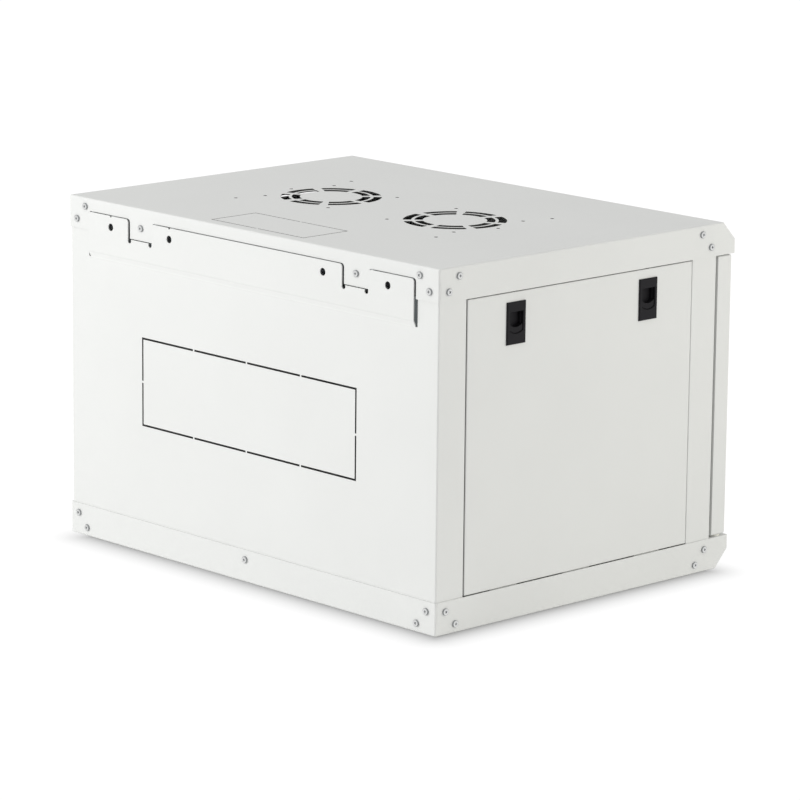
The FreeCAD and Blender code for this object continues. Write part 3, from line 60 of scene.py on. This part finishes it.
def place_camera():
    back = Vector((math.sin(CAMERA_TURN) * math.cos(CAMERA_TILT),
                   -math.cos(CAMERA_TURN) * math.cos(CAMERA_TILT), math.sin(CAMERA_TILT)))
    right = Vector((0, 0, 1)).cross(back).normalized()
    up = back.cross(right)
    rolled_right = right * math.cos(CAMERA_ROLL) + up * math.sin(CAMERA_ROLL)
    rolled_up = up * math.cos(CAMERA_ROLL) - right * math.sin(CAMERA_ROLL)
    data = bpy.data.cameras.new("camera")
    data.sensor_width = SENSOR
    data.lens = SENSOR * FOCAL_OVER_WIDTH
    data.clip_start = 0.1
    data.clip_end = 100
    camera = bpy.data.objects.new("camera", data)
    bpy.context.collection.objects.link(camera)
    axes = Matrix((rolled_right, rolled_up, back)).transposed()
    camera.matrix_world = Matrix.Translation(CAMERA_PLACE) @ axes.to_4x4()
    bpy.context.scene.camera = camera


place_camera()

# ---------------------------------------------------------------- shader helpers


class Value:
    """A shader socket that can be used in sums, products and powers."""

    def __init__(self, tree, socket):
        self.tree = tree
        self.socket = socket

    def combine(self, operation, first, second):
        node = self.tree.nodes.new("ShaderNodeMath")
        node.operation = operation
        for slot_index, item in enumerate((first, second)):
            if isinstance(item, Value):
                self.tree.links.new(item.socket, node.inputs[slot_index])
            else:
                node.inputs[slot_index].default_value = item
        return Value(self.tree, node.outputs[0])

    def __add__(self, other):
        return self.combine("ADD", self, other)

    def __radd__(self, other):
        return self.combine("ADD", other, self)

    def __sub__(self, other):
        return self.combine("SUBTRACT", self, other)

    def __rsub__(self, other):
        return self.combine("SUBTRACT", other, self)

    def __mul__(self, other):
        return self.combine("MULTIPLY", self, other)

    def __rmul__(self, other):
        return self.combine("MULTIPLY", other, self)

    def __pow__(self, other):
        return self.combine("POWER", self, other)

    def __abs__(self):
        return self.combine("ABSOLUTE", self, 0.0)

    def __gt__(self, other):
        return self.combine("GREATER_THAN", self, other)

    def __lt__(self, other):
        return self.combine("LESS_THAN", self, other)

    def smaller(self, other):
        return self.combine("MINIMUM", self, other)

    def larger(self, other):
        return self.combine("MAXIMUM", self, other)


def object_axes(tree):
    """The object coordinates, in metres, as three values."""
    spot = tree.nodes.new("ShaderNodeTexCoord")
    parts = tree.nodes.new("ShaderNodeSeparateXYZ")
    tree.links.new(spot.outputs["Object"], parts.inputs[0])
    return [Value(tree, socket) for socket in parts.outputs]


def ray_kinds(tree):
    """One for a ray straight from the camera, one off a glossy face, and one through glass."""
    rays = tree.nodes.new("ShaderNodeLightPath")
    return [Value(tree, rays.outputs[f"Is {kind} Ray"])
            for kind in ("Camera", "Glossy", "Transmission")]


def linear(red, green, blue):
    """Screen colour, 0 to 255, as the linear colour that the shader takes."""
    parts = []
    for part in (red / 255, green / 255, blue / 255):
        parts.append(part / 12.92 if part <= 0.04045 else ((part + 0.055) / 1.055) ** 2.4)
    return (*parts, 1.0)


class Finish:
    """One material, built round a Principled shader."""

    def __init__(self, name, **constants):
        self.material = bpy.data.materials.new(name)
        self.material.use_nodes = True
        self.tree = self.material.node_tree
        self.tree.nodes.clear()
        self.output = self.tree.nodes.new("ShaderNodeOutputMaterial")
        self.shader = self.tree.nodes.new("ShaderNodeBsdfPrincipled")
        self.tree.links.new(self.shader.outputs[0], self.output.inputs["Surface"])
        for socket, value in constants.items():
            self.shader.inputs[socket.replace("_", " ")].default_value = value

    def node(self, kind, settings=None, output=0, **sockets):
        """Adds a node: its settings first, then the values or links of its sockets."""
        made = self.tree.nodes.new("ShaderNode" + kind)
        for key, value in (settings or {}).items():
            if key == "stops":
                ramp = made.color_ramp.elements
                while len(ramp) < len(value):
                    ramp.new(0.5)
                for stop, (place, colour) in zip(ramp, value):
                    stop.position = place
                    stop.color = colour
            else:
                setattr(made, key, value)
        for name, value in sockets.items():
            socket = made.inputs[int(name[1:])] if name[0] == "_" else made.inputs[name]
            if isinstance(value, Value):
                self.tree.links.new(value.socket, socket)
            else:
                socket.default_value = value
        return Value(self.tree, made.outputs[output])

    def place(self, scale=(1, 1, 1)):
        """Object coordinates, in metres, stretched by scale."""
        spot = self.node("TexCoord", output="Object")
        return self.node("Mapping", Vector=spot, Scale=scale)

    def noise(self, size, detail=2.0, roughness=0.5, stretch=(1, 1, 1)):
        """Noise whose grains are about size metres wide."""
        scale = tuple(part / size for part in stretch)
        return self.node("TexNoise", Vector=self.place(scale), Scale=1.0, Detail=detail,
                         Roughness=roughness)

    def mix(self, amount, dark, light):
        """Colour that runs from dark to light with amount."""
        return self.node("Mix", {"data_type": "RGBA"}, output=2, _0=amount, _6=dark, _7=light)

    def colour(self, amount, dark, light):
        self.link("Base Color", self.mix(amount, dark, light))

    def inside(self, box):
        """One within the box, given as (low, high) in metres along each axis, and zero outside."""
        share = 1.0
        for place, (low, high) in zip(object_axes(self.tree), box):
            share = share * (place > low) * (place < high)
        return share

    def painted_cut_shade(self, half_wide, half_high, middle, tie_pitch):
        """One where painted shade goes: along the cut line of the back's knock-out plate, broken
        at its ties.
        """
        across, _, height = object_axes(self.tree)
        up = abs(height - middle)
        rim = (abs(across) - half_wide).larger(up - half_high)
        line = abs(rim + CUT_LINE / 2) < CUT_LINE / 2 + CUT_LINE_SHADE_SPREAD
        far_from_tie = across.combine("PINGPONG", across, tie_pitch / 2) > TIE / 2
        upright = abs(across) > half_wide - 2 * CUT_LINE
        on_side = (up > TIE / 2) * upright
        on_run = far_from_tie * (1 - upright)
        return line * (on_side + on_run)

    def link(self, name, value):
        self.tree.links.new(value.socket, self.shader.inputs[name])

    def bump(self, *layers):
        """Bumps stacked from (height, depth in metres) layers."""
        below = None
        for height, depth in layers:
            inputs = {"Height": height, "Distance": depth, "Strength": 1.0}
            if below is not None:
                inputs["Normal"] = below
            below = self.node("Bump", **inputs)
        self.link("Normal", below)


# ---------------------------------------------------------------- finishes


def powder_coat(name, colour, shaded_cuts=None, painted_cut_shade=None):
    """Baked powder coat: fine orange peel, faint speckle, and slight unevenness of sheen.

    The box of cut lines, given as (low, high) along each axis, gets painted shade on the cut edges
    inside it.
    The back's knock-out plate, when given, gets painted shade along its cut line and on the coat
    beside it, and painted light on the strip's fold.
    """
    paint = Finish(name, Specular_IOR_Level=0.45)
    peel = paint.noise(size=0.0011, detail=3.0, roughness=0.55)
    waves = paint.noise(size=0.035, detail=1.0)
    speck = paint.noise(size=0.00035, detail=1.0)
    cloud = paint.noise(size=0.12, detail=2.0)
    dark = linear(*(part - 5 for part in colour))
    light = linear(*(min(part + 4, 255) for part in colour))
    shade = paint.mix(cloud * 0.6 + speck * 0.4, dark, light)
    # painted shade: cut edges inside the box are darkened
    if shaded_cuts:
        shade = paint.mix(paint.inside(shaded_cuts), shade, linear(*CUT_EDGE_PAINTED_SHADE))
    # painted shade: the back's cut line and the coat beside it are darkened
    if painted_cut_shade:
        shade = paint.mix(paint.painted_cut_shade(*painted_cut_shade) * CUT_LINE_SHADE_STRENGTH, shade, linear(*CUT_LINE_PAINTED_SHADE))
        # painted light: the coat on the strip's fold is lightened against the shade its slope
        # takes
        shade = paint.mix(paint.inside(STRIP_FOLD), shade, linear(*FOLD_PAINTED_LIGHT))
    paint.link("Base Color", shade)
    paint.link("Roughness", 0.40 + peel * 0.10 + cloud * 0.08)
    paint.bump((waves, 0.00012), (peel, 0.000035))
    return paint.material


def zinc_plate(name, colour, grain=(1, 1, 1)):
    """Bright zinc: soft blue-grey bloom over a rolled grain."""
    zinc = Finish(name, Metallic=1.0)
    bloom = zinc.noise(size=0.018, detail=4.0, roughness=0.6)
    rolled = zinc.noise(size=0.0009, detail=2.0, stretch=grain)
    dark = linear(*(part - 26 for part in colour))
    zinc.colour(bloom * 0.7 + rolled * 0.3, dark, linear(*colour))
    zinc.link("Roughness", 0.24 + rolled * 0.14 + bloom * 0.10)
    zinc.bump((rolled, 0.000012))
    return zinc.material


def moulded_plastic(name, colour, roughness=0.42, sparkle=0.00045, sheen=0.5):
    """Moulded plastic with a fine eroded grain."""
    plastic = Finish(name, Specular_IOR_Level=sheen)
    grain = plastic.noise(size=sparkle, detail=2.0)
    flow = plastic.noise(size=0.012, detail=2.0)
    dark = linear(*(max(part - 5, 0) for part in colour))
    light = linear(*(min(part + 5, 255) for part in colour))
    plastic.colour(flow * 0.5 + grain * 0.5, dark, light)
    plastic.link("Roughness", roughness - 0.06 + grain * 0.12 + flow * 0.05)
    plastic.bump((grain, 0.000018))
    return plastic.material


def door_glazing(name):
    """Grey-tinted toughened glass with a trace of smears."""
    glass = Finish(name, Transmission_Weight=1.0, IOR=1.5)
    smear = glass.noise(size=0.05, detail=3.0, stretch=(1, 1, 3))
    glass.colour(smear, linear(84, 88, 89), linear(94, 98, 99))
    glass.link("Roughness", smear ** 4 * 0.06)
    return glass.material


def rubber_strip(name):
    rubber = Finish(name, Specular_IOR_Level=0.3)
    grain = rubber.noise(size=0.0008, detail=3.0)
    rubber.colour(grain, linear(20, 20, 21), linear(38, 38, 39))
    rubber.link("Roughness", 0.66 + grain * 0.14)
    rubber.bump((grain, 0.00002))
    return rubber.material


# screen colours of the coat, of the painted light on the strip's fold, and of the painted shade on
# the cut edges and along the back's cut line, then how strongly that line's painted shade covers
# the coat
PAINT = (221, 222, 220)
FOLD_PAINTED_LIGHT = (228, 229, 227)
CUT_EDGE_PAINTED_SHADE = (46, 45, 44)
CUT_LINE_PAINTED_SHADE = (30, 30, 30)
CUT_LINE_SHADE_STRENGTH = 0.94
# boxes, in metres: inside the roof's and the back's thickness, and round the strip's fold
ROOF_CUTS = ((-0.290, 0.290), (-0.195, 0.215), (0.38883, 0.38994))
BACK_CUTS = ((-0.250, 0.250), (0.22245, 0.22354), (0.040, 0.315))
STRIP_FOLD = ((-0.264, 0.264), (0.2237, 0.2264), (0.3240, 0.3316))
# the back's knock-out plate: half its width and height, its middle, and the pitch of its ties
BACK_PLATE = (0.175, 0.050, 0.195, 0.0875)
# width of the cut line, how far the painted shade spreads beside it, and width of a tie
CUT_LINE = 0.0015
CUT_LINE_SHADE_SPREAD = 0.0004
TIE = 0.0024
FINISHES = {
    "cabinet_paint": powder_coat("cabinet_paint", PAINT),
    "zinc_steel": zinc_plate("zinc_steel", (206, 209, 212), (1, 0.12, 1)),
    "bright_screw": zinc_plate("bright_screw", (236, 237, 236)),
    # painted shade: a darker copy of the screw plating, for the heads' edges and recesses
    "screw_shade": zinc_plate("screw_shade", (176, 178, 180)),
    "latch_plastic": moulded_plastic("latch_plastic", (22, 21, 24), roughness=0.48, sheen=0.18),
    "door_glass": door_glazing("door_glass"),
    "seal_rubber": rubber_strip("seal_rubber"),
    "lock_metal": zinc_plate("lock_metal", (208, 206, 200)),
    "nylon": moulded_plastic("nylon", (232, 231, 224), roughness=0.5),
}

for entry in frame["record"]["subparts"]:
    node = frame["nodes"][entry["node"]]
    for slot_item in node.material_slots:
        slot_item.material = FINISHES[entry["material_slot"]]

# painted shade makes the cut lines in the roof and the back show as fine dark lines
for name, cuts, plate in (("top_cover", ROOF_CUTS, None), ("rear_panel", BACK_CUTS, BACK_PLATE)):
    finish = powder_coat(f"{name}_paint", PAINT, cuts, plate)
    frame["nodes"][name].material_slots[0].material = finish

# ---------------------------------------------------------------- screws with cross recesses


def start_clean():
    bpy.ops.object.select_all(action="DESELECT")


def apply_modifier(piece, kind, **settings):
    """Adds a modifier to a piece and applies it."""
    start_clean()
    piece.select_set(True)
    bpy.context.view_layer.objects.active = piece
    modifier = piece.modifiers.new(kind.lower(), kind)
    for key, value in settings.items():
        setattr(modifier, key, value)
    bpy.ops.object.modifier_apply(modifier=modifier.name)


def islands(node_name):
    """Lowest and highest corners of each separate solid in a CAD node."""
    mesh = frame["nodes"][node_name].data
    parents = {}

    def root(key):
        while parents[key] != key:
            parents[key] = parents[parents[key]]
            key = parents[key]
        return key

    keys = [tuple(round(part, 6) for part in vertex.co) for vertex in mesh.vertices]
    for key in keys:
        parents.setdefault(key, key)
    for polygon in mesh.polygons:
        first = root(keys[polygon.vertices[0]])
        for index in polygon.vertices[1:]:
            parents[root(keys[index])] = first
    groups = {}
    for key in parents:
        groups.setdefault(root(key), []).append(key)
    boxes = []
    for group in groups.values():
        low = Vector(min(point[axis] for point in group) for axis in range(3))
        high = Vector(max(point[axis] for point in group) for axis in range(3))
        boxes.append((low, high))
    boxes.sort(key=lambda pair: tuple(pair[0]))
    return boxes


SHEET_SCREW = {"head_radius": 0.00375, "head_high": 0.0019, "radius": 0.002, "long": 0.008}
# steps of the domed head: inset as a share of its radius, rise as a share of its height
DOME_STEPS = ((0.10, 0.16), (0.16, 0.06), (0.2, 0.03))
# the screw plating, then its painted-shade copy
HEAD_FINISHES = ("bright_screw", "screw_shade")
# cross recess: radius at its floor and mouth as shares of the head's, and its bars' width
RECESS_FLOOR = 0.28
RECESS_MOUTH = 0.64
RECESS_WIDE = 0.3
THREAD_ROOT = 0.86
THREAD_PITCH = 0.35
# each screw stops at its own angle
FIRST_TURN = 11
NEXT_TURN = 37


def pan_screw(name, head_radius, head_high, radius, long):
    """A pan-head screw standing on its seat at the origin, head up, with a cross recess."""
    start_clean()
    bpy.ops.mesh.primitive_cylinder_add(vertices=40, radius=head_radius, depth=head_high)
    screw = bpy.context.object
    screw.data.transform(Matrix.Translation((0, 0, head_high / 2)))
    screw.name = name
    bpy.ops.object.mode_set(mode="EDIT")
    bpy.ops.mesh.select_all(action="DESELECT")
    bpy.ops.object.mode_set(mode="OBJECT")
    for polygon in screw.data.polygons:
        polygon.select = polygon.normal.z > 0.9
    bpy.ops.object.mode_set(mode="EDIT")
    for inset, rise in DOME_STEPS:
        bpy.ops.mesh.inset(thickness=head_radius * inset)
        bpy.ops.transform.translate(value=(0, 0, head_high * rise))
    bpy.ops.object.mode_set(mode="OBJECT")
    top = max(vertex.co.z for vertex in screw.data.vertices)
    for vertex in screw.data.vertices:
        if vertex.co.z > 0.0001:
            vertex.co.z *= head_high / top
    # painted shade: the head's edge and its recess take a darker copy of the plating
    for finish in HEAD_FINISHES:
        screw.data.materials.append(FINISHES[finish])
    for polygon in screw.data.polygons:
        if polygon.center.xy.length > head_radius * 0.9:
            polygon.material_index = 1
    # shank with its rolled thread
    start_clean()
    root = radius * THREAD_ROOT
    bpy.ops.mesh.primitive_cylinder_add(vertices=24, radius=root, depth=long,
                                        location=(0, 0, -long / 2 + 0.0001))
    threads = [bpy.context.object]
    pitch = radius * THREAD_PITCH
    for turn in range(int(long / pitch) - 1):
        for low_radius, high_radius, share in ((root, radius, 0.75), (radius, root, 0.25)):
            bpy.ops.mesh.primitive_cone_add(vertices=24, radius1=low_radius, radius2=high_radius,
                                            depth=pitch / 2,
                                            location=(0, 0, -pitch * (turn + share)))
            threads.append(bpy.context.object)
    # cross recess, tapering to its floor
    start_clean()
    bars = []
    for turn in (0, math.pi / 2):
        bpy.ops.mesh.primitive_cone_add(vertices=4, radius1=head_radius * RECESS_FLOOR,
                                        radius2=head_radius * RECESS_MOUTH,
                                        depth=head_high * 0.9,
                                        location=(0, 0, head_high * 0.62))
        bar = bpy.context.object
        bar.data.transform(Matrix.Rotation(math.pi / 4, 4, "Z"))
        bar.data.transform(Matrix.Diagonal((1, RECESS_WIDE, 1, 1)))
        bar.data.transform(Matrix.Rotation(turn, 4, "Z"))
        # painted shade on the faces the recess leaves
        for finish in HEAD_FINISHES:
            bar.data.materials.append(FINISHES[finish])
        for polygon in bar.data.polygons:
            polygon.material_index = 1
        bars.append(bar)
    for bar in bars:
        apply_modifier(screw, "BOOLEAN", operation="DIFFERENCE", object=bar, solver="EXACT")
        bpy.data.objects.remove(bar)
    apply_modifier(screw, "BEVEL", width=head_radius * 0.025, segments=2, limit_method="ANGLE",
                   angle_limit=math.radians(40))
    start_clean()
    for item in threads:
        item.data.materials.append(FINISHES["bright_screw"])
        item.select_set(True)
    screw.select_set(True)
    bpy.context.view_layer.objects.active = screw
    bpy.ops.object.join()
    bpy.ops.object.transform_apply(location=True, rotation=True, scale=True)
    bpy.ops.object.shade_smooth_by_angle(angle=math.radians(32))
    return screw


def screw_set(name, node_name, screw, outward, body):
    """Copies of the screw at every solid of a CAD node, joined as one piece."""
    copies = []
    for index, (low, high) in enumerate(islands(node_name)):
        centre = (low + high) / 2
        way = outward(centre)
        tip = max(low.dot(way), high.dot(way))
        seat = centre + way * (tip - SHEET_SCREW["head_high"] - centre.dot(way))
        spin = Matrix.Rotation(math.radians(NEXT_TURN * index + FIRST_TURN), 4, "Z")
        turn = way.to_track_quat("Z", "Y").to_matrix().to_4x4()
        copy = screw.copy()
        copy.data = screw.data.copy()
        copy.data.transform(Matrix.Translation(seat) @ turn @ spin)
        bpy.context.collection.objects.link(copy)
        copies.append(copy)
    start_clean()
    for copy in copies:
        copy.select_set(True)
    bpy.context.view_layer.objects.active = copies[0]
    bpy.ops.object.join()
    piece = bpy.context.object
    piece.name = name
    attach(piece, body)
    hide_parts(node_name)


def sideways(centre):
    return Vector((1, 0, 0)) if centre.x > 0 else Vector((-1, 0, 0))


def backward(_centre):
    return Vector((0, 1, 0))


def dress_screws():
    screw = pan_screw("sheet_screw", **SHEET_SCREW)
    for face, outward in (("back", backward), ("side", sideways)):
        for shell in ("cover", "base"):
            screw_set(f"{shell}_{face}_screw_heads", f"{shell}_{face}_screws", screw, outward,
                      "cabinet")
    bpy.data.objects.remove(screw)


dress_screws()

# ---------------------------------------------------------------- coil of the hinge pin


def fit_coil():
    """The coil stands on its guide; the share of its length to keep when the pin is drawn down is
    worked out, but the coil is not shortened.
    """
    low, high = islands("hinge_pin_spring")[0]
    mesh = frame["nodes"]["hinge_pin_spring"].data.copy()
    mesh.materials.clear()
    mesh.materials.append(FINISHES["bright_screw"])
    coil = bpy.data.objects.new("hinge_pin_coil", mesh)
    bpy.context.collection.objects.link(coil)
    joints = {joint["name"]: joint for joint in frame["record"]["behaviour"]["joints"]}
    travel = joints["door_pin_slide"]["range_m"][1]
    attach(coil, "door")
    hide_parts("hinge_pin_spring")
    keep = 1 - travel / (high.z - low.z)
    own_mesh(coil)


fit_coil()

# ---------------------------------------------------------------- floor, world and lights

FLOOR_SPAN = 80
FLOOR_LEVEL = -0.0002
# share of its own glow in what the floor shows, and how strong the glow is
FLOOR_GLOW = 0.8
FLOOR_STRENGTH = 1.05
# half the cabinet's plan, then how far the painted shadow round it reaches, how steeply it fades,
# and where it ends
HALF_WIDE = 0.300
HALF_DEEP = 0.225
PAINTED_SHADOW_REACH = 0.096
PAINTED_SHADOW_FALL = 4
END_FADE = 0.036
SKY_LEVEL = 0.86
# name, place, aim, size, power and tint of each lamp
LAMPS = (
    ("key_behind", (1.9, 3.0, 1.5), (0.1, 0.2, 0.2), (2.4, 1.8), 81, (1.0, 1.0, 1.0)),
    ("fill_side", (-2.35, -1.5, 0.3), (-0.3, -0.15, 0.15), (1.8, 1.6), 35, (1.0, 0.98, 0.91)),
)


def lay_floor():
    """A white floor that reads as white to the camera, with a painted shadow only close round the
    cabinet.
    """
    start_clean()
    bpy.ops.mesh.primitive_plane_add(size=FLOOR_SPAN, location=(0, 0, FLOOR_LEVEL))
    floor = bpy.context.object
    floor.name = "floor"
    paper = Finish("floor_paper", Roughness=0.9, Specular_IOR_Level=0.1)
    grain = paper.noise(size=0.02, detail=2.0)
    seen, mirrored, through = ray_kinds(paper.tree)
    # painted shadow: the camera sees a grey floor colour, shown only where the glow gives way;
    # other rays see it nearly white
    paper.colour(seen * 0.98 + grain * 0.02, linear(238, 238, 238), linear(158, 158, 158))
    # distance outside the cabinet's plan, as a share of the reach of its painted shadow
    across, along, _ = object_axes(paper.tree)
    squares = []
    for place, half in ((across * -1, HALF_WIDE), (along, HALF_DEEP)):
        near = place - half
        far = (place + half - END_FADE) * -1
        outside = near.larger(far).larger(0.0)
        squares.append(outside * outside)
    away = (squares[0] + squares[1]) ** 0.5 * (1 / PAINTED_SHADOW_REACH)
    # painted shadow: full at the cabinet's plan, gone at its reach
    shade = (1 - away.smaller(1.0)) ** PAINTED_SHADOW_FALL
    glow = paper.tree.nodes.new("ShaderNodeEmission")
    glow.inputs["Strength"].default_value = FLOOR_STRENGTH
    blend = paper.tree.nodes.new("ShaderNodeMixShader")
    # where the painted shadow lies, the camera sees less glow and more of the grey floor colour
    share = seen * (1 - shade * FLOOR_GLOW) + (mirrored + through) * FLOOR_GLOW
    paper.tree.links.new(share.socket, blend.inputs[0])
    paper.tree.links.new(paper.shader.outputs[0], blend.inputs[1])
    paper.tree.links.new(glow.outputs[0], blend.inputs[2])
    paper.tree.links.new(blend.outputs[0], paper.output.inputs["Surface"])
    floor.data.materials.append(paper.material)


def light_world():
    """Even studio light, with plain white behind the object."""
    world = bpy.data.worlds.new("studio")
    bpy.context.scene.world = world
    world.use_nodes = True
    tree = world.node_tree
    tree.nodes.clear()
    output = tree.nodes.new("ShaderNodeOutputWorld")
    sky = tree.nodes.new("ShaderNodeBackground")
    seen, mirrored, through = ray_kinds(tree)
    direct = (seen + mirrored + through).smaller(1.0)
    strength = SKY_LEVEL + direct * (1.0 - SKY_LEVEL)
    tree.links.new(strength.socket, sky.inputs["Strength"])
    tree.links.new(sky.outputs[0], output.inputs["Surface"])


def soft_box(name, place, aim, size, power, tint):
    """A large rectangular lamp that faces a point and leaves no glint."""
    data = bpy.data.lights.new(name, "AREA")
    data.color = tint
    data.shape = "RECTANGLE"
    data.size, data.size_y = size
    data.energy = power
    lamp = bpy.data.objects.new(name, data)
    bpy.context.collection.objects.link(lamp)
    lamp.location = place
    lamp.rotation_euler = (Vector(aim) - Vector(place)).to_track_quat("-Z", "Y").to_euler()
    lamp.visible_glossy = False


lay_floor()
light_world()
for lamp_facts in LAMPS:
    soft_box(*lamp_facts)

bpy.context.scene.view_settings.view_transform = "Standard"
